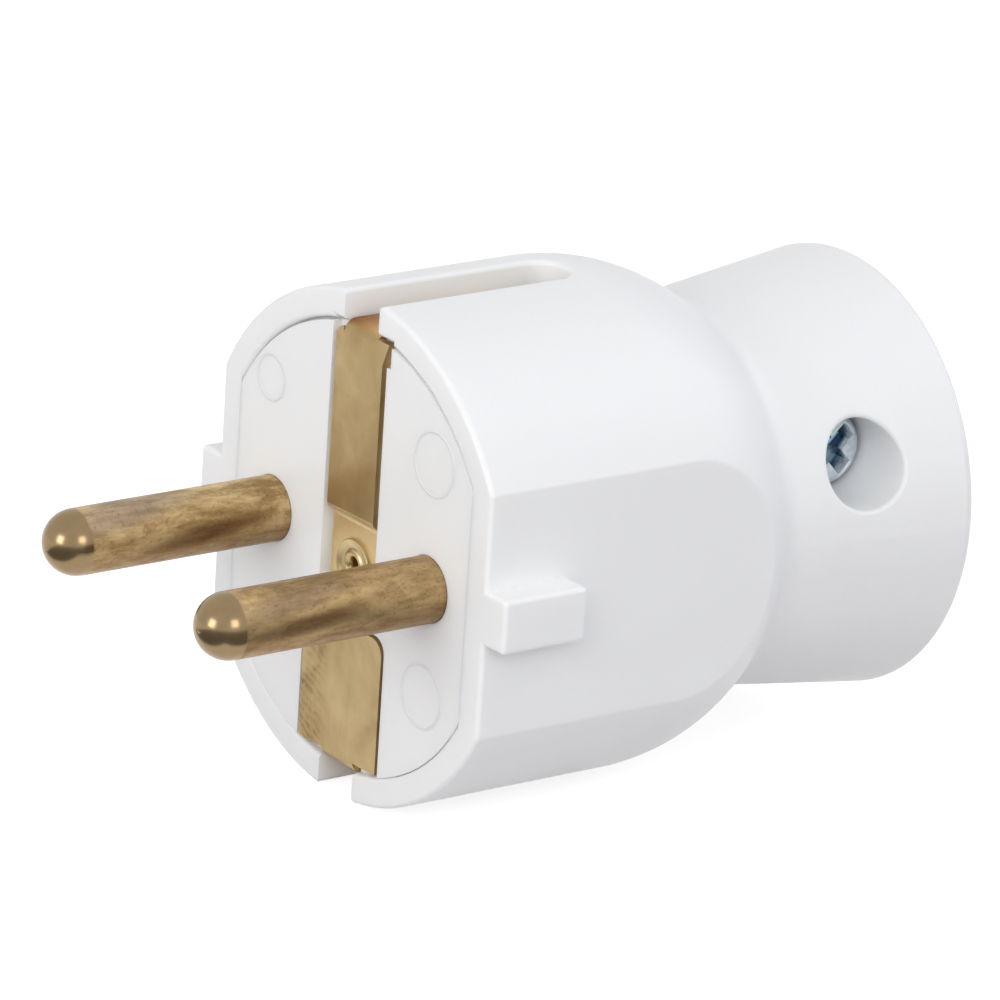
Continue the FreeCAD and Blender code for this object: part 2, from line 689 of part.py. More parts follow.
def make_earth_terminal():
    """A folded bracket behind the carrier's plate, with a leg for the earth screw."""
    body = new_body("earth_terminal")
    side = new_sketch(body, "terminal_side", "YZ_Plane")
    base, face = "plate_thickness", "plate_thickness + bracket_thickness"
    end = "plate_thickness + bracket_reach"
    draw_outline(side, [
        (base, "bracket_top"),
        (base, "-bracket_leg - bracket_thickness", "2 * bracket_thickness"),
        (end, "-bracket_leg - bracket_thickness"),
        (end, "-bracket_leg"),
        (face, "-bracket_leg", "bracket_thickness"),
        (face, "bracket_top"),
    ])
    pad(body, side, "bracket_width", symmetric=True)
    rivet_hole = new_sketch(body, "terminal_rivet_hole", "XZ_Plane")
    draw_circle(rivet_hole, "0", "-rivet_down", "rivet_radius + hole_clearance")
    pocket(body, rivet_hole)
    thread = new_sketch(body, "terminal_thread", "XY_Plane")
    draw_circle(thread, "0", EARTH_SCREW_ALONG, "thread_radius + hole_clearance")
    pocket(body, thread)
    return body


def make_earth_clamp_washer():
    body = new_body("earth_clamp_washer")
    square = new_sketch(body, "washer_square", "XY_Plane", "-bracket_leg")
    reach = "washer_width / 2"
    draw_rectangle(square, f"-{reach}", reach, f"{EARTH_SCREW_ALONG} - {reach}", f"{EARTH_SCREW_ALONG} + {reach}")
    draw_circle(square, "0", EARTH_SCREW_ALONG, "thread_radius + hole_clearance")
    pad(body, square, "washer_thickness")
    return body


# Cord clamp
def make_cord_clamp():
    """A saddle over the cord, screwed to the carrier's block."""
    body = new_body("cord_clamp")
    arch = new_sketch(body, "clamp_arch_section", "XZ_Plane", f"-{CLAMP_START}")
    draw_circle(arch, "0", "0", "inlet_radius + clamp_arch")
    pad(body, arch, "clamp_width", reverse=True)
    flanges = new_sketch(body, "clamp_flanges", "XZ_Plane", f"-{CLAMP_START}")
    reach = f"({CLAMP_SCREW_UP} + clamp_head_radius)"
    draw_rectangle(flanges, "-clamp_plane", "clamp_flange - clamp_plane", f"-{reach}", reach)
    pad(body, flanges, "clamp_width", reverse=True)
    below = new_sketch(body, "clamp_below", "XZ_Plane", f"-{CLAMP_START}")
    draw_rectangle(below, "-2 * inlet_radius", "-clamp_plane", "-2 * inlet_radius", "2 * inlet_radius")
    pocket(body, below)
    cord = new_sketch(body, "clamp_cord", "XZ_Plane", f"-{CLAMP_START}")
    draw_circle(cord, "0", "0", "inlet_radius")
    pocket(body, cord)
    holes = new_sketch(body, "clamp_holes", "YZ_Plane", "-clamp_plane")
    for side in ("", "-"):
        draw_circle(holes, CLAMP_SCREW_ALONG, f"{side}{CLAMP_SCREW_UP}", "clamp_screw_radius + hole_clearance")
    pocket(body, holes, reverse=True)
    return body


# Pins and screws, from primitives
def add(kind, name, **sizes):
    """A primitive whose sizes and place are bound to expressions."""
    item = doc.addObject(f"Part::{kind}", name)
    for key, expression in sizes.items():
        item.setExpression(key.replace("__", "."), bound(expression))
    return item


def combine(kind, name, base, tools):
    """Fuse the tools to the base, or cut them from it."""
    if kind == "MultiFuse":
        item = doc.addObject("Part::MultiFuse", name)
        item.Shapes = [base, *tools]
        item.Refine = True
        return item
    for index, tool in enumerate(tools):
        item = doc.addObject("Part::Cut", name if tool is tools[-1] else f"{name}_{index}")
        item.Base = base
        item.Tool = tool
        base = item
    return item


ALONG_Y = FreeCAD.Rotation(FreeCAD.Vector(1, 0, 0), -90)
ALONG_X = FreeCAD.Rotation(FreeCAD.Vector(0, 1, 0), 90)


def make_pin(name, side):
    """A round-tipped pin with a neck in the carrier's plate and a wider head that holds the wire."""
    place = f"{side}pin_place"
    head_end = "plate_thickness + pin_head_length"
    shank = add("Cylinder", f"{name}_shank", Radius="pin_radius", Height="pin_length - pin_radius")
    neck = add("Cylinder", f"{name}_neck", Radius="pin_radius - pin_neck", Height="plate_thickness")
    tip = add("Sphere", f"{name}_tip", Radius="pin_radius")
    head = add("Cylinder", f"{name}_head", Radius=PIN_HEAD, Height="pin_head_length")
    bore = add("Cylinder", f"{name}_bore", Radius="wire_hole_radius", Height="wire_hole_depth")
    thread = add("Cylinder", f"{name}_thread", Radius="thread_radius + hole_clearance", Height=PIN_HEAD)
    starts = (
        (shank, "pin_radius - pin_length"), (tip, "pin_radius - pin_length"), (neck, "0"),
        (head, "plate_thickness"), (bore, f"{head_end} - wire_hole_depth"), (thread, TERMINAL_ALONG),
    )
    for item, start in starts:
        item.setExpression("Placement.Base.x", bound(place))
        item.setExpression("Placement.Base.y", bound(start))
    for item in (shank, tip, neck, head, bore):
        item.Placement.Rotation = ALONG_Y
    solid = combine("MultiFuse", f"{name}_solid", shank, [tip, neck, head])
    return combine("Cut", name, solid, [bore, thread])


def make_screw(name, rotation, seat, head, shank, drive):
    """A screw that points down its own axis: the head stands on the seat, and the shank goes below it.

    seat is (x, y, z), head and shank are (radius, length), drive is (width, length, depth, bars).
    """
    top = add("Cylinder", f"{name}_head", Radius=head[0], Height=head[1])
    stem = add("Cylinder", f"{name}_stem", Radius=shank[0], Height=shank[1])
    stem.setExpression("Placement.Base.z", bound(f"-({shank[1]})"))
    body = combine("MultiFuse", f"{name}_blank", top, [stem])
    width, length, depth, bars = drive
    cutters = []
    for bar in range(bars):
        spans = (length, width) if bar == 0 else (width, length)
        cutter = add("Box", f"{name}_drive_{bar}", Length=spans[0], Width=spans[1], Height=f"2 * ({depth})")
        cutter.setExpression("Placement.Base.x", bound(f"-({spans[0]}) / 2"))
        cutter.setExpression("Placement.Base.y", bound(f"-({spans[1]}) / 2"))
        cutter.setExpression("Placement.Base.z", bound(f"{head[1]} - ({depth})"))
        cutters.append(cutter)
    screw = combine("Cut", name, body, cutters)
    for axis, expression in zip("xyz", seat):
        screw.setExpression(f"Placement.Base.{axis}", bound(expression))
    screw.Placement.Rotation = rotation
    return screw


def make_screws():
    upright = FreeCAD.Rotation()
    slot = ("drive_width", "3 * terminal_head_radius", "drive_depth", 1)
    cross = ("cross_width", "cross_length", "cross_depth", 2)
    terminal_head = ("terminal_head_radius", "terminal_head_height")
    screws = [make_screw(
        "housing_screw", ALONG_X, ("screw_head_top - screw_head_height", SCREW_ALONG, "screw_up"),
        ("screw_head_radius", "screw_head_height"), ("screw_radius", "screw_length"), cross)]
    for name, side in (("left_terminal_screw", "-"), ("right_terminal_screw", "")):
        seat = (f"{side}pin_place", TERMINAL_ALONG, f"{PIN_HEAD} + terminal_head_lift")
        stem = ("thread_radius", f"{PIN_HEAD} + terminal_head_lift - terminal_tip")
        screws.append(make_screw(name, upright, seat, terminal_head, stem, slot))
    screws.append(make_screw(
        "earth_terminal_screw", upright, ("0", EARTH_SCREW_ALONG, "washer_thickness - bracket_leg"),
        terminal_head, ("thread_radius", "earth_screw_length"), slot))
    for name, side in (("upper_clamp_screw", ""), ("lower_clamp_screw", "-")):
        seat = ("clamp_flange - clamp_plane", CLAMP_SCREW_ALONG, f"{side}{CLAMP_SCREW_UP}")
        screws.append(make_screw(
            name, ALONG_X, seat, ("clamp_head_radius", "clamp_head_height"),
            ("clamp_screw_radius", "clamp_screw_length"), slot))
    return screws


subparts = [
    make_housing(),
    make_pin_carrier(),
    make_pin("left_pin", "-"),
    make_pin("right_pin", ""),
    make_earth_strap(),
    make_earth_rivet(),
    make_earth_terminal(),
    make_earth_clamp_washer(),
    make_cord_clamp(),
    *make_screws(),
]
doc.recompute()

# Nothing is written unless every object is sound
for item in doc.Objects:
    if "Invalid" in item.State or "Error" in item.State:
        raise RuntimeError(f"{item.Name} failed: {item.State}")
for subpart in subparts:
    if subpart.Shape.isNull() or not subpart.Shape.isValid():
        raise RuntimeError(f"{subpart.Label} has no sound shape")

os.makedirs("parts", exist_ok=True)
for subpart in subparts:
    subpart.Shape.exportStep(f"parts/{subpart.Label}.step")
    print(f"{subpart.Label}: {len(subpart.Shape.Solids)} solid, {subpart.Shape.Volume:.1f} mm3")
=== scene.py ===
# %% [markdown]
# # A type F mains plug, from its CAD frame to a studio picture
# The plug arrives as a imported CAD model: a moulded housing, a pin carrier, two brass pins, a folded earth
# strap and the screws inside. This lesson keeps those shapes, gives each one the finish of its real material,
# and models the small things that deserve more detail than the CAD has. Everything is in metres, in the CAD's
# own frame: X runs across the pins, Y from the front face to the cord's end, and Z up.

# %% Load the frame
import math

import bmesh
import bpy
from mathutils import Matrix, Vector


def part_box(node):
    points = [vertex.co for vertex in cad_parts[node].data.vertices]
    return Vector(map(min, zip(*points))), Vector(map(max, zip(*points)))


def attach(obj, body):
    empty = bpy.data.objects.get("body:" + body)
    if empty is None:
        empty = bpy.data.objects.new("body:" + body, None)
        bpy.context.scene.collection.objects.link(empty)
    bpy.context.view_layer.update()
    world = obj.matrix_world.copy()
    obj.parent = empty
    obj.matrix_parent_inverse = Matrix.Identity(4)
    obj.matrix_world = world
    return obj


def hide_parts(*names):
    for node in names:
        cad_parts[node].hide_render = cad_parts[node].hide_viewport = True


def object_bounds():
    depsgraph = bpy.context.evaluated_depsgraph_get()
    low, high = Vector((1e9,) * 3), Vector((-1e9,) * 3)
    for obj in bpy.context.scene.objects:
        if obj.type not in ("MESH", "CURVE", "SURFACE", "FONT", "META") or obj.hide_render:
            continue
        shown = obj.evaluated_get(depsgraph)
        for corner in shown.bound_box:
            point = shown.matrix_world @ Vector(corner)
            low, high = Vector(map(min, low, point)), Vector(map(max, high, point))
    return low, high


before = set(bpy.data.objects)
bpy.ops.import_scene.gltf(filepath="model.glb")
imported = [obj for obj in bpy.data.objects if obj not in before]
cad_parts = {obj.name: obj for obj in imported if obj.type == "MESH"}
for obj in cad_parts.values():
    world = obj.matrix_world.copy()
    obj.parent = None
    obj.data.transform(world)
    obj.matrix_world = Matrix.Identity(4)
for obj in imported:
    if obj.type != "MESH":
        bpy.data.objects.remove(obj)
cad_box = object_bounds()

MM = 0.001
scene = bpy.context.scene
print("CAD nodes:", sorted(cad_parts))

# %% [markdown]
# ## Colours and nodes
# A colour that was read off a real thing is an sRGB value, but Blender's sockets take linear light, so one
# function converts them all. A second one adds a node with its settings and its links, so that a material
# below reads as a list of what feeds what. Two small ones give a pattern its real size and start a material.


# %% Helpers for materials
def linear(hex_colour):
    """An sRGB hex colour as the linear RGBA that a colour socket takes."""
    channels = [int(hex_colour[start:start + 2], 16) / 255 for start in (1, 3, 5)]
    return (*[c / 12.92 if c <= 0.04045 else ((c + 0.055) / 1.055) ** 2.4 for c in channels], 1.0)


def add_node(tree, kind, inputs=None, **settings):
    """Add a node, set its properties, and fill its inputs with plain values or with other nodes' outputs."""
    node = tree.nodes.new(f"ShaderNode{kind}")
    for name, value in settings.items():
        setattr(node, name, value)
    for name, value in (inputs or {}).items():
        if isinstance(value, bpy.types.NodeSocket):
            tree.links.new(value, node.inputs[name])
        else:
            node.inputs[name].default_value = value
    return node


def per_metre(millimetres):
    """The texture scale at which a pattern repeats about once in this many millimetres."""
    return 1 / (millimetres * MM)


def start_material(name):
    """A material with nothing but its output and the object's own coordinates."""
    material = bpy.data.materials.new(name)
    material.use_nodes = True
    tree = material.node_tree
    tree.nodes.clear()
    output = add_node(tree, "OutputMaterial")
    place = add_node(tree, "TexCoord").outputs["Object"]
    return material, tree, output, place


print("middle grey in linear light:", round(linear("#808080")[0], 3))

# %% [markdown]
# ## White moulded plastic
# The housing and the insert are injection-moulded in a white, slightly cool thermoplastic. The polished mould
# leaves a smooth skin with a faint orange-peel ripple, and the resin cools unevenly, so its gloss and tone
# drift a little over a few millimetres. Light goes a short way into it, which softens the slots and the
# screw's hole. A Principled shader with a little subsurface light does this, with three noises for drift,
# ripple and grain.

# %% Moulded plastic
# Sizes of the patterns in millimetres. The real grain is finer than a pixel, so it is drawn coarser, to show.
DRIFT_SIZE, RIPPLE_SIZE, GRAIN_SIZE = 9.0, 1.6, 0.22
RIPPLE_HEIGHT, GRAIN_HEIGHT = 0.02 * MM, 0.004 * MM
SKIN_STRENGTH = 0.12
GLOSS_DRIFT = 0.05
PLASTIC_IOR = 1.49
LIGHT_REACH = 1.2 * MM


def moulded_plastic(name, light, shade, roughness):
    """White plastic: its tone drifts between light and shade, and its gloss about the roughness."""
    material, tree, output, place = start_material(name)
    drift = add_node(tree, "TexNoise", {
        "Vector": place, "Scale": per_metre(DRIFT_SIZE), "Detail": 3.0, "Roughness": 0.5})
    peel = add_node(tree, "TexNoise", {"Vector": place, "Scale": per_metre(RIPPLE_SIZE), "Detail": 2.0})
    grain = add_node(tree, "TexNoise", {"Vector": place, "Scale": per_metre(GRAIN_SIZE), "Detail": 2.0})
    mottle = add_node(tree, "Math", {0: drift.outputs["Fac"], 1: grain.outputs["Fac"]}, operation="MULTIPLY")
    tone = add_node(tree, "ValToRGB", {"Fac": mottle.outputs["Value"]})
    for stop, position, colour in zip(tone.color_ramp.elements, (0.12, 0.4), (shade, light)):
        stop.position = position
        stop.color = linear(colour)
    gloss = add_node(tree, "MapRange", {
        "Value": drift.outputs["Fac"], "From Min": 0.3, "From Max": 0.7,
        "To Min": roughness - GLOSS_DRIFT, "To Max": roughness + GLOSS_DRIFT})
    ripple = add_node(tree, "Bump", {
        "Height": peel.outputs["Fac"], "Strength": SKIN_STRENGTH, "Distance": RIPPLE_HEIGHT})
    skin = add_node(tree, "Bump", {
        "Height": grain.outputs["Fac"], "Strength": SKIN_STRENGTH, "Distance": GRAIN_HEIGHT,
        "Normal": ripple.outputs["Normal"]})
    plastic = add_node(tree, "BsdfPrincipled", {
        "Base Color": tone.outputs["Color"], "Roughness": gloss.outputs["Result"],
        "Normal": skin.outputs["Normal"], "IOR": PLASTIC_IOR, "Subsurface Weight": 0.3,
        "Subsurface Radius": (1.0, 0.9, 0.75), "Subsurface Scale": LIGHT_REACH})
    tree.links.new(plastic.outputs["BSDF"], output.inputs["Surface"])
    return material


housing_plastic = moulded_plastic("white_polypropylene_housing", "#fafbfc", "#f8f9fa", 0.36)
insert_plastic = moulded_plastic("white_polypropylene_insert", "#fafbfb", "#f8f9f9", 0.4)
print("plastics:", housing_plastic.name, insert_plastic.name)

# %% [markdown]
# ## Tarnished brass pins
# The pins are turned from brass rod and have been handled. The shank has dulled to a matt tan, with patches
# and streaks drawn out along the rod, and its underside is painted a darker brown, as painted shade. The
# round tip is rubbed smooth. Each pin also has a greyish haze along its top, which is partly painted sheen,
# and a long dark stain in places of its own, and an oval blotch with a ragged edge draws each of them. One
# material function does both pins, and tells the tip from the shank by its place along Y.

# %% A blotch on a pin
BLOTCH_SLANT = math.radians(-8)
BLOTCH_FULL, BLOTCH_GONE = 0.75, 1.6


def blotch(tree, place, ragged, along, up, strength):
    """An oval patch: along and up are its middle and reach in Y and Z, in mm, and ragged eats at its edge."""
    from_middle = add_node(
        tree, "VectorMath", {0: place, 1: (0.0, -along[0] * MM, -up[0] * MM)}, operation="ADD")
    slanted = add_node(tree, "VectorRotate", {
        "Vector": from_middle.outputs["Vector"], "Angle": BLOTCH_SLANT}, rotation_type="X_AXIS")
    oval = add_node(tree, "VectorMath", {
        0: slanted.outputs["Vector"], 1: (0.0, per_metre(along[1]), per_metre(up[1]))}, operation="MULTIPLY")
    reach = add_node(tree, "VectorMath", {0: oval.outputs["Vector"]}, operation="LENGTH")
    eaten = add_node(tree, "Math", {0: reach.outputs["Value"], 1: ragged}, operation="ADD")
    return add_node(tree, "MapRange", {
        "Value": eaten.outputs["Value"], "From Min": BLOTCH_FULL, "From Max": BLOTCH_GONE,
        "To Min": strength, "To Max": 0.0}, interpolation_type="SMOOTHSTEP").outputs["Result"]


print(f"blotches slant by {math.degrees(BLOTCH_SLANT):.0f} degrees")

# %% The shank's colour
# The first brown is painted shade on the underside of each pin; the second is a real stain.
UNDERSIDE_PAINTED_SHADE, STAIN_BROWN = "#6e4d36", "#5f3d24"
UNDERSIDE_SHADE_STARTS, UNDERSIDE_SHADE_FULL = 0.1 * MM, -0.9 * MM


def shank_colour(tree, place, patches, streaks, bright, dulled, haze, stain, underside):
    """Bright brass with dull patches, then the haze, partly painted sheen (its colour comes first), the
    painted shade on the underside, and the stain.
    """
    worn = add_node(tree, "Math", {0: patches, 1: streaks}, operation="MULTIPLY")
    dull = add_node(tree, "MapRange", {"Value": worn.outputs["Value"], "From Min": 0.16, "From Max": 0.34})
    pale = add_node(tree, "Mix", {
        "Factor": dull.outputs["Result"], "A": linear(bright), "B": linear(dulled)}, data_type="RGBA")
    # The haze along the top of each pin is partly painted sheen.
    haze_colour, *haze_shape = haze
    hazed = add_node(tree, "Mix", {
        "Factor": blotch(tree, place, patches, *haze_shape),
        "A": pale.outputs["Result"], "B": linear(haze_colour)}, data_type="RGBA")
    axes = add_node(tree, "SeparateXYZ", {"Vector": place})
    # Painted shade: the pin turns darker brown towards its underside.
    painted_underside_shade = add_node(tree, "MapRange", {
        "Value": axes.outputs["Z"], "From Min": UNDERSIDE_SHADE_STARTS, "From Max": UNDERSIDE_SHADE_FULL,
        "To Max": underside})
    shaded_below = add_node(tree, "Mix", {
        "Factor": painted_underside_shade.outputs["Result"], "A": hazed.outputs["Result"], "B": linear(UNDERSIDE_PAINTED_SHADE)},
        data_type="RGBA")
    stained = add_node(tree, "Mix", {
        "Factor": blotch(tree, place, streaks, *stain),
        "A": shaded_below.outputs["Result"], "B": linear(STAIN_BROWN)}, data_type="RGBA")
    return stained.outputs["Result"]


print("browns below and in the stain:", UNDERSIDE_PAINTED_SHADE, STAIN_BROWN)

# %% Turned brass
# Sizes of the patterns in millimetres. A scale below one in Y draws a pattern out along the rod.
STREAK_SIZE, PATCH_SIZE, PIT_SIZE = 0.7, 1.5, 0.3
STREAK_SCALE, PATCH_SCALE = (1.0, 0.25, 1.0), (1.0, 0.35, 1.0)
STREAK_HEIGHT = 0.02 * MM
SMOOTHEST_SHANK, ROUGHEST_SHANK, TIP_ROUGHNESS = 0.4, 0.54, 0.23
PIT_BROWN, TIP_BRIGHT, TIP_DULL = "#6f5537", "#a08a69", "#877254"
TIP_STARTS, TIP_BLEND = -16.6 * MM, 0.15 * MM


def turned_brass(name, **tarnish_and_painted_light):
    """Brass rod with a tarnished, pitted shank and a smooth tip; the tarnish and the painted light go on to
    shank_colour.
    """
    material, tree, output, place = start_material(name)
    along = add_node(tree, "Mapping", {"Vector": place, "Scale": STREAK_SCALE})
    streaks = add_node(tree, "TexNoise", {
        "Vector": along.outputs["Vector"], "Scale": per_metre(STREAK_SIZE), "Detail": 5.0, "Roughness": 0.7})
    drawn_out = add_node(tree, "Mapping", {"Vector": place, "Scale": PATCH_SCALE})
    patches = add_node(tree, "TexNoise", {
        "Vector": drawn_out.outputs["Vector"], "Scale": per_metre(PATCH_SIZE), "Detail": 6.0,
        "Roughness": 0.72, "Distortion": 0.6})
    shank = shank_colour(tree, place, patches.outputs["Fac"], streaks.outputs["Fac"], **tarnish_and_painted_light)

    # Fine dark pits
    specks = add_node(tree, "TexNoise", {
        "Vector": place, "Scale": per_metre(PIT_SIZE), "Detail": 3.0, "Roughness": 0.7})
    pits = add_node(tree, "MapRange", {
        "Value": specks.outputs["Fac"], "From Min": 0.55, "From Max": 0.7, "To Max": 0.5})
    pitted = add_node(tree, "Mix", {
        "Factor": pits.outputs["Result"], "A": shank, "B": linear(PIT_BROWN)}, data_type="RGBA")

    # The smooth tip
    axes = add_node(tree, "SeparateXYZ", {"Vector": place})
    tip = add_node(tree, "MapRange", {
        "Value": axes.outputs["Y"], "From Min": TIP_STARTS - TIP_BLEND, "From Max": TIP_STARTS + TIP_BLEND,
        "To Min": 1.0, "To Max": 0.0}, interpolation_type="SMOOTHSTEP")
    rubbed = add_node(tree, "Mix", {
        "Factor": streaks.outputs["Fac"], "A": linear(TIP_BRIGHT), "B": linear(TIP_DULL)}, data_type="RGBA")
    colour = add_node(tree, "Mix", {
        "Factor": tip.outputs["Result"], "A": pitted.outputs["Result"], "B": rubbed.outputs["Result"]},
        data_type="RGBA")
    matt = add_node(tree, "MapRange", {
        "Value": streaks.outputs["Fac"], "From Min": 0.3, "From Max": 0.7,
        "To Min": SMOOTHEST_SHANK, "To Max": ROUGHEST_SHANK})
    roughness = add_node(tree, "Mix", {
        "Factor": tip.outputs["Result"], "A": matt.outputs["Result"], "B": TIP_ROUGHNESS}, data_type="FLOAT")
    grooves = add_node(tree, "Bump", {
        "Height": streaks.outputs["Fac"], "Strength": 0.25, "Distance": STREAK_HEIGHT})
    brass = add_node(tree, "BsdfPrincipled", {
        "Base Color": colour.outputs["Result"], "Roughness": roughness.outputs["Result"],
        "Normal": grooves.outputs["Normal"], "Metallic": 1.0})
    tree.links.new(brass.outputs["BSDF"], output.inputs["Surface"])
    return material


left_brass = turned_brass(
    "tarnished_turned_brass_left", bright="#dcc290", dulled="#a3865a", underside=0.5,
    haze=("#98877c", (-13.0, 9.0), (2.1, 1.1), 0.6), stain=((-7.0, 6.6), (-0.05, 0.95), 0.7))
right_brass = turned_brass(
    "tarnished_turned_brass_right", bright="#c6aa7a", dulled="#967a55", underside=0.4,
    haze=("#7d6a58", (-13.0, 7.0), (1.5, 1.0), 0.55), stain=((-11.0, 7.0), (0.15, 0.8), 0.56))
print("pin brass:", left_brass.name, right_brass.name)

# %% [markdown]
# ## Rolled brass strip
# The earth strap is folded from rolled strip. Rolling leaves a satin surface with fine lines along the strip,
# and handling has left cloudy patches. The foot has short rub marks near one edge, where the socket's spring
# has scraped it. Bands of a wave texture draw them, broken up by a noise and kept to that edge by a mask in X
# and Z. Behind the face's plane, light is painted in: the sunk middle round the rivet is painted paler
# against its shade, and both bends are painted with an orange glow that runs from dark to light across X.

# %% Rub marks
# Sizes in millimetres. A wave texture of scale 1 repeats every tau / 20, and its spacing starts from that.
RUB_SPACING, SKIP_SIZE = 0.6, 1.3
WAVE_REPEAT = math.tau / 20
RUB_SLANT = math.radians(-22)
RUBBED_EDGE_STARTS, RUBBED_EDGE_FULL = -1.2 * MM, -3.4 * MM
FOOT_STARTS, FOOT_FULL = -6.4 * MM, -8.0 * MM


def rub_marks(tree, place, axes, cloudy):
    """How strong the rub marks are: slanted bands at one edge of the foot, faint where the spring skipped."""
    slant = add_node(tree, "Mapping", {"Vector": place, "Rotation": (0.0, RUB_SLANT, 0.0)})
    bands = add_node(tree, "TexWave", {
        "Vector": slant.outputs["Vector"], "Scale": per_metre(RUB_SPACING) * WAVE_REPEAT,
        "Distortion": 5.5, "Detail": 3.0, "Detail Scale": 1.0}, bands_direction="Z")
    skips = add_node(tree, "TexNoise", {
        "Vector": place, "Scale": per_metre(SKIP_SIZE), "Detail": 3.0, "Roughness": 0.6})
    marks = add_node(tree, "MapRange", {
        "Value": bands.outputs["Fac"], "From Min": 0.25, "From Max": 0.85, "To Min": 0.45})
    pressed = add_node(tree, "MapRange", {
        "Value": skips.outputs["Fac"], "From Min": 0.4, "From Max": 0.52, "To Min": 0.25})
    edge = add_node(tree, "MapRange", {
        "Value": axes.outputs["X"], "From Min": RUBBED_EDGE_STARTS, "From Max": RUBBED_EDGE_FULL})
    foot = add_node(tree, "MapRange", {
        "Value": axes.outputs["Z"], "From Min": FOOT_STARTS, "From Max": FOOT_FULL})
    strength = marks.outputs["Result"]
    for share in (pressed, edge, foot, cloudy):
        product = add_node(tree, "Math", {0: strength, 1: share.outputs["Result"]}, operation="MULTIPLY")
        strength = product.outputs["Value"]
    return strength


print(f"rub marks {RUB_SPACING} mm apart")

# %% Painted light behind the face
# Painted light: the sunk middle is painted paler against its shade, and the bends an orange glow, dark to
# light across X.
PAINTED_LIGHT_MIDDLE, BEND_PAINTED_SHADE, BEND_PAINTED_LIGHT = "#dbc290", "#a06c38", "#d4af75"
SUNK_STARTS, SUNK_FULL = 0.15 * MM, 0.55 * MM
TINT_FADES, TINT_GONE = 1.5 * MM, 4.0 * MM
BEND_SHADE_REACH = 1.8 * MM
BENDS_START, BENDS_FULL = 8.0 * MM, 10.0 * MM


def painted_light_behind_face(tree, axes, front):
    """The front's colour, and just behind its plane the painted light: a paler middle, and orange bends
    shaded dark to light across X.
    """
    sunk = add_node(tree, "MapRange", {
        "Value": axes.outputs["Y"], "From Min": SUNK_STARTS, "From Max": SUNK_FULL})
    fading = add_node(tree, "MapRange", {
        "Value": axes.outputs["Y"], "From Min": TINT_FADES, "From Max": TINT_GONE,
        "To Min": 1.0, "To Max": 0.0})
    behind = add_node(tree, "Math", {
        0: sunk.outputs["Result"], 1: fading.outputs["Result"]}, operation="MULTIPLY")
    # Painted shade across the bends, dark on one side and light on the other
    across = add_node(tree, "MapRange", {
        "Value": axes.outputs["X"], "From Min": -BEND_SHADE_REACH, "From Max": BEND_SHADE_REACH})
    painted_bend_glow = add_node(tree, "Mix", {
        "Factor": across.outputs["Result"], "A": linear(BEND_PAINTED_SHADE), "B": linear(BEND_PAINTED_LIGHT)},
        data_type="RGBA")
    height = add_node(tree, "Math", {0: axes.outputs["Z"]}, operation="ABSOLUTE")
    ends = add_node(tree, "MapRange", {
        "Value": height.outputs["Value"], "From Min": BENDS_START, "From Max": BENDS_FULL})
    tint = add_node(tree, "Mix", {
        "Factor": ends.outputs["Result"], "A": linear(PAINTED_LIGHT_MIDDLE), "B": painted_bend_glow.outputs["Result"]},
        data_type="RGBA")
    shown = add_node(tree, "Mix", {
        "Factor": behind.outputs["Value"], "A": front, "B": tint.outputs["Result"]}, data_type="RGBA")
    return shown.outputs["Result"]


print("middle and bends:", PAINTED_LIGHT_MIDDLE, BEND_PAINTED_SHADE, BEND_PAINTED_LIGHT)

# %% Rolled brass
# Sizes in millimetres. Real rolling lines are finer than a pixel, so these are drawn coarser, to show.
CLOUD_SIZE, LINE_SIZE = 4.5, 0.3
LINE_SCALE = (1.0, 0.06, 0.06)
LINE_HEIGHT = 0.01 * MM
SMOOTHER, ROUGHER = 0.04, 0.05
SCUFF_BROWN = "#6a5030"


def rolled_brass(name, bright, dull, roughness, rubbed):
    """Satin brass strip with cloudy patches. A rubbed one also has the strap's rub marks and the painted
    light behind its face.
    """
    material, tree, output, place = start_material(name)
    clouds = add_node(tree, "TexNoise", {
        "Vector": place, "Scale": per_metre(CLOUD_SIZE), "Detail": 4.0, "Roughness": 0.55, "Distortion": 0.4})
    rolling = add_node(tree, "Mapping", {"Vector": place, "Scale": LINE_SCALE})
    lines = add_node(tree, "TexNoise", {
        "Vector": rolling.outputs["Vector"], "Scale": per_metre(LINE_SIZE), "Detail": 3.0, "Roughness": 0.6})
    cloudy = add_node(tree, "MapRange", {"Value": clouds.outputs["Fac"], "From Min": 0.34, "From Max": 0.68})
    satin = add_node(tree, "Mix", {
        "Factor": cloudy.outputs["Result"], "A": linear(bright), "B": linear(dull)}, data_type="RGBA")
    colour = satin.outputs["Result"]
    if rubbed:
        axes = add_node(tree, "SeparateXYZ", {"Vector": place})
        scuffed = add_node(tree, "Mix", {
            "Factor": rub_marks(tree, place, axes, cloudy), "A": colour, "B": linear(SCUFF_BROWN)},
            data_type="RGBA")
        # Painted light behind the face's plane
        colour = painted_light_behind_face(tree, axes, scuffed.outputs["Result"])
    finish = add_node(tree, "MapRange", {
        "Value": lines.outputs["Fac"], "From Min": 0.3, "From Max": 0.7,
        "To Min": roughness - SMOOTHER, "To Max": roughness + ROUGHER})
    bump = add_node(tree, "Bump", {"Height": lines.outputs["Fac"], "Strength": 0.12, "Distance": LINE_HEIGHT})
    brass = add_node(tree, "BsdfPrincipled", {
        "Base Color": colour, "Roughness": finish.outputs["Result"],
        "Normal": bump.outputs["Normal"], "Metallic": 1.0})
    tree.links.new(brass.outputs["BSDF"], output.inputs["Surface"])
    return material


strap_brass = rolled_brass("rolled_brass_strip", "#b9a378", "#a1885d", 0.44, rubbed=True)
rivet_brass = rolled_brass("rolled_pale_brass", "#ccb98f", "#b7a176", 0.36, rubbed=False)
print("strap brass:", strap_brass.name, rivet_brass.name)

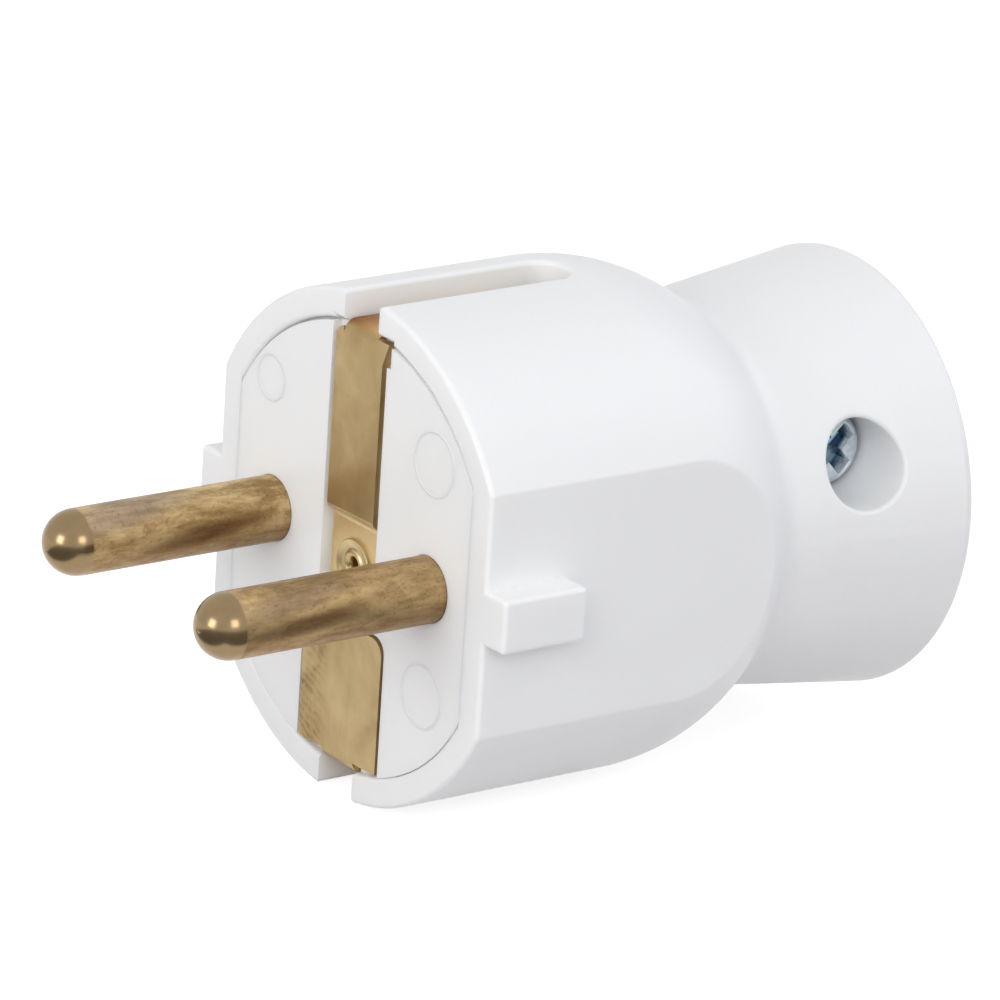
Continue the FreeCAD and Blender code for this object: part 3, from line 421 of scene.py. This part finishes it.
# %% [markdown]
# ## Zinc-plated steel
# The screws are steel with a bright, bluish zinc plating. Plating is slightly grainy, so a fine noise drives
# both its tone and its roughness. The screw that shows has painted shade in its cross recess: it darkens with
# depth along its own axis, which is X.

# %% Zinc plate
# The size of the grain in millimetres. The real one is finer than a pixel, so it is drawn coarser, to show.
PLATING_GRAIN = 0.35
PLATING_HEIGHT = 0.004 * MM
SMOOTHEST_ZINC, ROUGHEST_ZINC = 0.17, 0.25
# The last colour is painted shade for the cross recess.
ZINC_DULL, ZINC_BRIGHT, ZINC_PAINTED_SHADE = "#cbd6dd", "#e6ecf0", "#8096a6"
PAINTED_SHADE_FROM, PAINTED_SHADE_FULL = 9.85 * MM, 8.8 * MM


def zinc_plate(name, with_painted_shade):
    """Bright plating; with painted shade, it darkens down the recess, between two places along X."""
    material, tree, output, place = start_material(name)
    grain = add_node(tree, "TexNoise", {
        "Vector": place, "Scale": per_metre(PLATING_GRAIN), "Detail": 4.0, "Roughness": 0.6})
    cloud = add_node(tree, "MapRange", {"Value": grain.outputs["Fac"], "From Min": 0.34, "From Max": 0.66})
    tone = add_node(tree, "Mix", {
        "Factor": cloud.outputs["Result"], "A": linear(ZINC_DULL), "B": linear(ZINC_BRIGHT)},
        data_type="RGBA")
    # Painted shade down in the cross recess
    if with_painted_shade:
        axes = add_node(tree, "SeparateXYZ", {"Vector": place})
        depth = add_node(tree, "MapRange", {
            "Value": axes.outputs["X"], "From Min": PAINTED_SHADE_FROM, "From Max": PAINTED_SHADE_FULL})
        tone = add_node(tree, "Mix", {
            "Factor": depth.outputs["Result"], "A": tone.outputs["Result"], "B": linear(ZINC_PAINTED_SHADE)},
            data_type="RGBA")
    finish = add_node(tree, "MapRange", {
        "Value": grain.outputs["Fac"], "From Min": 0.3, "From Max": 0.7,
        "To Min": SMOOTHEST_ZINC, "To Max": ROUGHEST_ZINC})
    bump = add_node(tree, "Bump", {
        "Height": grain.outputs["Fac"], "Strength": 0.05, "Distance": PLATING_HEIGHT})
    zinc = add_node(tree, "BsdfPrincipled", {
        "Base Color": tone.outputs["Result"], "Roughness": finish.outputs["Result"],
        "Normal": bump.outputs["Normal"], "Metallic": 1.0})
    tree.links.new(zinc.outputs["BSDF"], output.inputs["Surface"])
    return material


zinc_steel = zinc_plate("zinc_plated_steel", with_painted_shade=False)
zinc_with_painted_shade = zinc_plate("zinc_plated_steel_cross_head", with_painted_shade=True)
print("plating:", zinc_steel.name, zinc_with_painted_shade.name)

# %% [markdown]
# ## Finishes on the CAD pieces
# Most of the CAD shapes are right as they are, so they only take a finish. The pieces inside the housing get
# theirs too, because the cord's inlet lets a little of them show from behind.

# %% Assign the finishes
FINISHES = {
    "housing": housing_plastic,
    "pin_carrier": insert_plastic,
    "cord_clamp": insert_plastic,
    "left_pin": left_brass,
    "right_pin": right_brass,
    "earth_strap": strap_brass,
    "earth_terminal": rivet_brass,
    "earth_clamp_washer": rivet_brass,
    "left_terminal_screw": zinc_steel,
    "right_terminal_screw": zinc_steel,
    "earth_terminal_screw": zinc_steel,
    "upper_clamp_screw": zinc_steel,
    "lower_clamp_screw": zinc_steel,
}
for node_name, finish in FINISHES.items():
    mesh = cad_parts[node_name].data
    mesh.materials.clear()
    mesh.materials.append(finish)
print("finished CAD pieces:", len(FINISHES))

# %% [markdown]
# ## Helpers for new pieces
# New pieces are modelled in millimetres with bmesh operators. One helper turns such a mesh into a finished
# piece in metres: it merges doubles, turns the faces outwards and hangs the piece on the plug. The others
# find what lies flat at one height or on the axis, and push faces along Z.

# %% Make, find and push
MERGE_WITHIN = 0.01 * MM
FLAT_WITHIN, AXIS_WITHIN = 1e-4, 0.1


def piece_from(bm, name, finish):
    """Turn a bmesh that was modelled in millimetres into a finished piece that rides on the plug."""
    bmesh.ops.scale(bm, verts=bm.verts, vec=(MM, MM, MM))
    bmesh.ops.remove_doubles(bm, verts=bm.verts, dist=MERGE_WITHIN)
    bmesh.ops.recalc_face_normals(bm, faces=bm.faces)
    mesh = bpy.data.meshes.new(name)
    bm.to_mesh(mesh)
    bm.free()
    mesh.materials.append(finish)
    piece = bpy.data.objects.new(name, mesh)
    scene.collection.objects.link(piece)
    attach(piece, "root")
    print(f"{name}: {len(mesh.polygons)} faces")
    return piece


def flat_at(height, items):
    """Those of the faces or edges that lie flat at this height."""
    return [item for item in items if all(abs(vert.co.z - height) < FLAT_WITHIN for vert in item.verts)]


def on_axis(faces):
    """Those of the faces that have the axis in their middle."""
    return [face for face in faces if face.calc_center_median().xy.length < AXIS_WITHIN]


def push(bm, faces, depth, scale=1.0):
    """Extrude faces along Z by depth, and draw them together about the axis."""
    moved = bmesh.ops.extrude_face_region(bm, geom=faces)["geom"]
    bmesh.ops.delete(bm, geom=faces, context="FACES_ONLY")
    verts = [item for item in moved if isinstance(item, bmesh.types.BMVert)]
    bmesh.ops.translate(bm, verts=verts, vec=(0.0, 0.0, depth))
    bmesh.ops.scale(bm, verts=verts, vec=(scale, scale, 1.0))
    return [item for item in moved if isinstance(item, bmesh.types.BMFace)]


print(f"doubles merge within {MERGE_WITHIN / MM} mm")

# %% [markdown]
# ## The housing screw
# The one screw that shows is a pan-head with a cross recess, deep in its hole in the collar. The CAD has a
# plain head, so this one replaces it. It is modelled upright on Z and laid along X at the end. The head comes
# first: a disc is extruded to its height, and its rim is bevelled round.

# %% The pan head
HEAD_RADIUS, HEAD_HEIGHT, RIM_ROUND = 2.7, 2.0, 0.55
ROUND_SEGMENTS = 64

bm = bmesh.new()
bmesh.ops.create_circle(bm, cap_ends=True, radius=HEAD_RADIUS, segments=ROUND_SEGMENTS)
push(bm, list(bm.faces), HEAD_HEIGHT)
bmesh.ops.contextual_create(bm, geom=[edge for edge in bm.edges if edge.is_boundary])
rim = flat_at(HEAD_HEIGHT, bm.edges)
bmesh.ops.bevel(bm, geom=rim, offset=RIM_ROUND, segments=5, profile=0.5, affect="EDGES", material=-1)
print("pan head:", len(bm.faces), "faces")

# %% [markdown]
# Knife cuts mark the cross on the flat top of the head. The cross is pushed in with a taper, which is how
# such a recess is pressed, and its middle goes deeper, into a small pit. Then its lip is rounded.

# %% The cross recess
WING_WIDTH, WING_SPAN, RECESS_DEPTH = 1.25, 4.4, 1.6
WALL_SHARE, WALL_TAPER, PIT_TAPER = 0.75, 0.8, 0.45
LIP_ROUND, LIP_ANGLE = 0.16, 0.5
CUT_WITHIN = 1e-5
CROSS_TURN = math.radians(42)


def in_cross(face):
    """Whether a face on top of the head lies in the cross."""
    middle = face.calc_center_median()
    across, up = abs(middle.x), abs(middle.y)
    return min(across, up) < WING_WIDTH / 2 and max(across, up) < WING_SPAN / 2


for axis in ((1, 0, 0), (0, 1, 0)):
    for offset in (WING_WIDTH / 2, -WING_WIDTH / 2, WING_SPAN / 2, -WING_SPAN / 2):
        top = flat_at(HEAD_HEIGHT, bm.faces)
        edges = dict.fromkeys(edge for face in top for edge in face.edges)
        verts = dict.fromkeys(vert for face in top for vert in face.verts)
        bmesh.ops.bisect_plane(
            bm, geom=[*verts, *edges, *top], plane_co=Vector(axis) * offset, plane_no=axis, dist=CUT_WITHIN)
cross = [face for face in flat_at(HEAD_HEIGHT, bm.faces) if in_cross(face)]
cross_floor = push(bm, cross, -WALL_SHARE * RECESS_DEPTH, WALL_TAPER)
push(bm, on_axis(cross_floor), (WALL_SHARE - 1) * RECESS_DEPTH, PIT_TAPER)
lip = [edge for edge in flat_at(HEAD_HEIGHT, bm.edges) if edge.calc_face_angle(0.0) > LIP_ANGLE]
bmesh.ops.bevel(bm, geom=lip, offset=LIP_ROUND, segments=2, profile=0.5, affect="EDGES", material=-1)
bmesh.ops.rotate(bm, verts=bm.verts, cent=(0, 0, 0), matrix=Matrix.Rotation(CROSS_TURN, 3, "Z"))
print("edges round the cross:", len(lip))

# %% [markdown]
# The shank is drawn out of the underside of the head: an inset gives its width, and a plain neck comes before
# the thread. The housing hides the thread, so each of its turns is only a plain ring.

# %% The shank and its thread
SHANK_RADIUS, SHANK_LENGTH = 1.3, 9.0
THREAD_PITCH, THREAD_DEPTH, THREAD_TURNS = 1.0, 0.2, 7
SCREW_SEAT = (8.0, 34.75, 5.2)

seat = flat_at(0.0, bm.faces)
bmesh.ops.inset_individual(bm, faces=seat, thickness=HEAD_RADIUS - SHANK_RADIUS, use_even_offset=True)
shank_end = push(bm, on_axis(flat_at(0.0, bm.faces)), THREAD_TURNS * THREAD_PITCH - SHANK_LENGTH)
core = (SHANK_RADIUS - THREAD_DEPTH) / SHANK_RADIUS
for _ in range(THREAD_TURNS):
    shank_end = push(bm, shank_end, -THREAD_PITCH / 2, core)
    shank_end = push(bm, shank_end, -THREAD_PITCH / 2, 1 / core)

bmesh.ops.rotate(bm, verts=bm.verts, cent=(0, 0, 0), matrix=Matrix.Rotation(math.radians(90), 3, "Y"))
bmesh.ops.translate(bm, verts=bm.verts, vec=SCREW_SEAT)
cross_head_screw = piece_from(bm, "cross_head_screw", zinc_with_painted_shade)
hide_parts("housing_screw")

# %% [markdown]
# ## The hollow rivet
# The rivet in the middle of the strap is an eyelet: its front is rolled over into a shallow dish between an
# outer rim and a small inner lip round the bore. The CAD has a plain flange there, so this eyelet replaces
# it. Half its section is drawn once, as radius and depth, and spun about the rivet's axis. Depths count from
# the strap's face in front, and from the inner side of the flange at the back.

# %% Model the rivet
RIVET_DOWN, RIVET_FLANGE, RIVET_SHANK = 1.4, 0.45, 1.3
RIVET_FRONT = (
    (0.0, 1.5), (0.5, 1.5), (0.54, 0.3), (0.62, 0.0), (0.78, -0.18), (0.94, -0.22), (1.06, -0.14),
    (1.18, -0.05), (1.36, -0.04), (1.58, -0.1), (1.76, -0.22), (1.88, -0.24), (1.95, -0.14), (1.95, 0.0),
    (RIVET_SHANK, 0.0))
RIVET_BACK = (
    (RIVET_SHANK, 0.0), (1.9, 0.0), (1.9, 0.3), (1.75, RIVET_FLANGE), (0.0, RIVET_FLANGE))

rivet_low, rivet_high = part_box("earth_rivet")
rivet_face = rivet_low.y / MM + RIVET_FLANGE
rivet_back = rivet_high.y / MM - RIVET_FLANGE
section = [(radius, rivet_face + depth) for radius, depth in RIVET_FRONT]
section += [(radius, rivet_back + depth) for radius, depth in RIVET_BACK]
bm = bmesh.new()
points = [bm.verts.new((radius, along, -RIVET_DOWN)) for radius, along in section]
edges = [bm.edges.new(pair) for pair in zip(points, points[1:])]
bmesh.ops.spin(
    bm, geom=[*points, *edges], cent=(0, 0, -RIVET_DOWN), axis=(0, 1, 0), angle=math.tau,
    steps=ROUND_SEGMENTS, use_merge=True)
hollow_rivet = piece_from(bm, "hollow_rivet", rivet_brass)
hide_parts("earth_rivet")

# %% [markdown]
# ## Ring marks on the face
# The mould leaves shallow round marks on the insert's face, where its ejector pins push the part out. Each is
# a thin raised ring, sunk in the face for most of its thickness: a small circle is spun once about the mark's
# own axis.

# %% Model the ring marks
RING_WIRE, RING_LIFT = 0.16, 0.05
WIRE_SEGMENTS, RING_STEPS = 12, 72
RING_MARKS = ((-10.4, 9.5, 1.65), (9.5, 9.1, 2.3), (9.6, -7.9, 2.3), (-10.0, -8.6, 1.65))

bm = bmesh.new()
quarter_turn = Matrix.Rotation(math.radians(90), 3, "Z")
for across, up, radius in RING_MARKS:
    verts = bmesh.ops.create_circle(bm, radius=RING_WIRE, segments=WIRE_SEGMENTS)["verts"]
    bmesh.ops.rotate(bm, verts=verts, cent=(0, 0, 0), matrix=quarter_turn)
    bmesh.ops.translate(bm, verts=verts, vec=(across + radius, RING_WIRE - RING_LIFT, up))
    edges = dict.fromkeys(edge for vert in verts for edge in vert.link_edges)
    bmesh.ops.spin(
        bm, geom=[*verts, *edges], cent=(across, 0, up), axis=(0, 1, 0), angle=math.tau,
        steps=RING_STEPS, use_merge=True)
ring_marks = piece_from(bm, "ejector_ring_marks", insert_plastic)

# %% [markdown]
# ## Smooth shading
# A turned or moulded surface has no facets. New pieces are shaded smooth up to an angle, so that real corners
# stay sharp.

# %% Shade the new pieces
NEW_PIECES = ((cross_head_screw, 35), (hollow_rivet, 50), (ring_marks, 60))
for piece, angle in NEW_PIECES:
    piece.data.shade_smooth()
    piece.data.set_sharp_from_angle(angle=math.radians(angle))
print("smooth pieces:", len(NEW_PIECES))

# %% [markdown]
# ## The camera
# The camera was fitted to the picture: a long lens, a little above the plug, turned towards the side with the
# screw. Its axes are worked out from its direction and its small roll, and its place from where the middle of
# the face lands in the frame.

# %% Place the camera
AZIMUTH, ELEVATION, ROLL = (math.radians(angle) for angle in (52.87, 18.84, 3.70))
DISTANCE = 548.0 * MM
FOCAL_PIXELS, FRAME_PIXELS = 7820.0, 1000.0
FACE_MIDDLE = (348.4, 547.9)
SENSOR_WIDTH = 36.0
NEAREST_SEEN = 0.01

back = Vector((
    math.sin(AZIMUTH) * math.cos(ELEVATION), -math.cos(AZIMUTH) * math.cos(ELEVATION), math.sin(ELEVATION)))
level = Vector((math.cos(AZIMUTH), math.sin(AZIMUTH), 0.0))
upright = back.cross(level)
right = level * math.cos(ROLL) + upright * math.sin(ROLL)
up = upright * math.cos(ROLL) - level * math.sin(ROLL)
aside = (FACE_MIDDLE[0] - FRAME_PIXELS / 2) / FOCAL_PIXELS * DISTANCE
below = (FACE_MIDDLE[1] - FRAME_PIXELS / 2) / FOCAL_PIXELS * DISTANCE
eye = back * DISTANCE - right * aside + up * below

camera_data = bpy.data.cameras.new("camera")
camera_data.sensor_width = SENSOR_WIDTH
camera_data.lens = FOCAL_PIXELS / FRAME_PIXELS * SENSOR_WIDTH
camera_data.clip_start = NEAREST_SEEN
camera = bpy.data.objects.new("camera", camera_data)
camera.matrix_world = Matrix.Translation(eye) @ Matrix((right, up, back)).transposed().to_4x4()
scene.collection.objects.link(camera)
scene.camera = camera
print(f"lens {camera_data.lens:.1f} mm, {eye.length:.3f} m away")

# %% [markdown]
# ## Table and mats
# The plug lies on a plain white table. The camera and the reflections see it glow to a plain white, and it
# keeps a faint shadow. Two grey mats lie on it, in front of the plug and beside it. They show only in
# reflections, and give the pins the dark line that tells the eye they are round and smooth, as a
# photographer's dark cards do.

# %% Helpers for the studio
WHITE = "#ffffff"


def floor_panel(name, size, middle, finish):
    """A flat panel that belongs to the studio and not to the plug."""
    bm = bmesh.new()
    bmesh.ops.create_grid(bm, x_segments=1, y_segments=1, size=0.5)
    bmesh.ops.scale(bm, verts=bm.verts, vec=(*size, 1.0))
    bmesh.ops.translate(bm, verts=bm.verts, vec=middle)
    mesh = bpy.data.meshes.new(name)
    bm.to_mesh(mesh)
    bm.free()
    mesh.materials.append(finish)
    panel = bpy.data.objects.new(name, mesh)
    scene.collection.objects.link(panel)
    print(f"{name}: {size[0]:.2f} by {size[1]:.2f} m")
    return panel


def seen_directly(tree):
    """One where the camera, a reflection or clear glass looks, and nought where diffuse light is gathered."""
    path = add_node(tree, "LightPath")
    mirrored = add_node(tree, "Math", {
        0: path.outputs["Is Camera Ray"], 1: path.outputs["Is Glossy Ray"]}, operation="MAXIMUM")
    seen = add_node(tree, "Math", {
        0: mirrored.outputs["Value"], 1: path.outputs["Is Transmission Ray"]}, operation="MAXIMUM")
    return seen.outputs["Value"]


print("studio white:", WHITE)

# %% Lay the table
FLOOR_HEIGHT = cad_box[0].z - 0.02 * MM
FLOOR_REACH = 0.6
FLOOR_GLOW = 0.78
TABLE_GREY = "#c8c6c8"

table_top, tree, output, _ = start_material("white_table")
paper = add_node(tree, "BsdfDiffuse", {"Color": linear(TABLE_GREY)})
share = add_node(tree, "Math", {0: seen_directly(tree), 1: FLOOR_GLOW}, operation="MULTIPLY")
glow = add_node(tree, "Emission", {"Color": linear(WHITE), "Strength": share.outputs["Value"]})
lit_paper = add_node(tree, "AddShader", {0: paper.outputs["BSDF"], 1: glow.outputs["Emission"]})
tree.links.new(lit_paper.outputs["Shader"], output.inputs["Surface"])
floor_panel("table", (2 * FLOOR_REACH, 2 * FLOOR_REACH), (0, 0, FLOOR_HEIGHT), table_top)

# %% Lay the mats
# Each mat's name, and where it starts and ends in X and in Y
MATS = (
    ("mat_in_front", (-0.042, 0.75), (-0.75, -0.032)),
    ("mat_beside", (0.027, 0.75), (-0.032, 0.5)),
)
MAT_GREY = "#989898"
MAT_LIFT = 0.5 * MM

grey_felt, tree, output, _ = start_material("grey_mat")
felt = add_node(tree, "BsdfDiffuse", {"Color": linear(MAT_GREY)})
tree.links.new(felt.outputs["BSDF"], output.inputs["Surface"])
for name, (left_end, right_end), (near, far) in MATS:
    middle = ((left_end + right_end) / 2, (near + far) / 2, FLOOR_HEIGHT + MAT_LIFT)
    mat = floor_panel(name, (right_end - left_end, far - near), middle, grey_felt)
    mat.visible_camera = False
    mat.visible_shadow = False
    mat.visible_diffuse = False

# %% [markdown]
# ## The white background
# The background is the world itself: plain white where the camera or a reflection looks, and half as strong
# where it lights the plug, so that the white plastic keeps its tones.

# %% Colour the world
AMBIENT_LEVEL, BACKDROP_LEVEL = 0.5, 1.0

world = bpy.data.worlds.new("white_studio")
world.use_nodes = True
scene.world = world
tree = world.node_tree
tree.nodes.clear()
ambient = add_node(tree, "Background", {"Color": linear(WHITE), "Strength": AMBIENT_LEVEL})
backdrop = add_node(tree, "Background", {"Color": linear(WHITE), "Strength": BACKDROP_LEVEL})
studio = add_node(tree, "MixShader", {
    0: seen_directly(tree), 1: ambient.outputs["Background"], 2: backdrop.outputs["Background"]})
add_node(tree, "OutputWorld", {"Surface": studio.outputs["Shader"]})
scene.view_settings.view_transform = "Standard"
print("world:", world.name)

# %% [markdown]
# ## The lamps
# Four soft lamps light the plug. One stands in front of the face and one beside the screw. The third is
# behind and above, slightly cool, and brightens the shoulder and the collar as a white background does. The
# fill stands high at the front corner, so that it reaches into the slot and the screw's hole, and it makes no
# highlight of its own.

# %% Hang the lamps
# Name, direction from the plug, distance, width, power, tint, and whether it shows in reflections
SOFT_BOXES = (
    ("front_box", (-0.02, -0.965, 0.262), 0.6, 0.23, 0.80, WHITE, True),
    ("side_box", (0.887, -0.180, 0.426), 0.6, 0.23, 0.55, WHITE, True),
    ("back_box", (0.15, 0.8, 0.58), 0.7, 0.5, 0.92, "#eaf1ff", True),
    ("fill", (0.57, -0.63, 0.53), 0.7, 0.35, 1.12, WHITE, False),
)
for name, direction, distance, width, power, tint, mirrored in SOFT_BOXES:
    lamp = bpy.data.lights.new(name, "AREA")
    lamp.shape = "SQUARE"
    lamp.size = width
    lamp.energy = power
    lamp.color = linear(tint)[:3]
    box = bpy.data.objects.new(name, lamp)
    towards = Vector(direction).normalized()
    aim = towards.to_track_quat("Z", "Y").to_matrix().to_4x4()
    box.matrix_world = Matrix.Translation(towards * distance) @ aim
    box.visible_camera = False
    box.visible_glossy = mirrored
    scene.collection.objects.link(box)
print("soft boxes:", len(SOFT_BOXES))

# %% [markdown]
# ## Sizes
# The looks must not change the plug's size; the CAD's own box is printed here.

# %% Print the CAD's box
print("CAD box", [tuple(corner) for corner in cad_box])
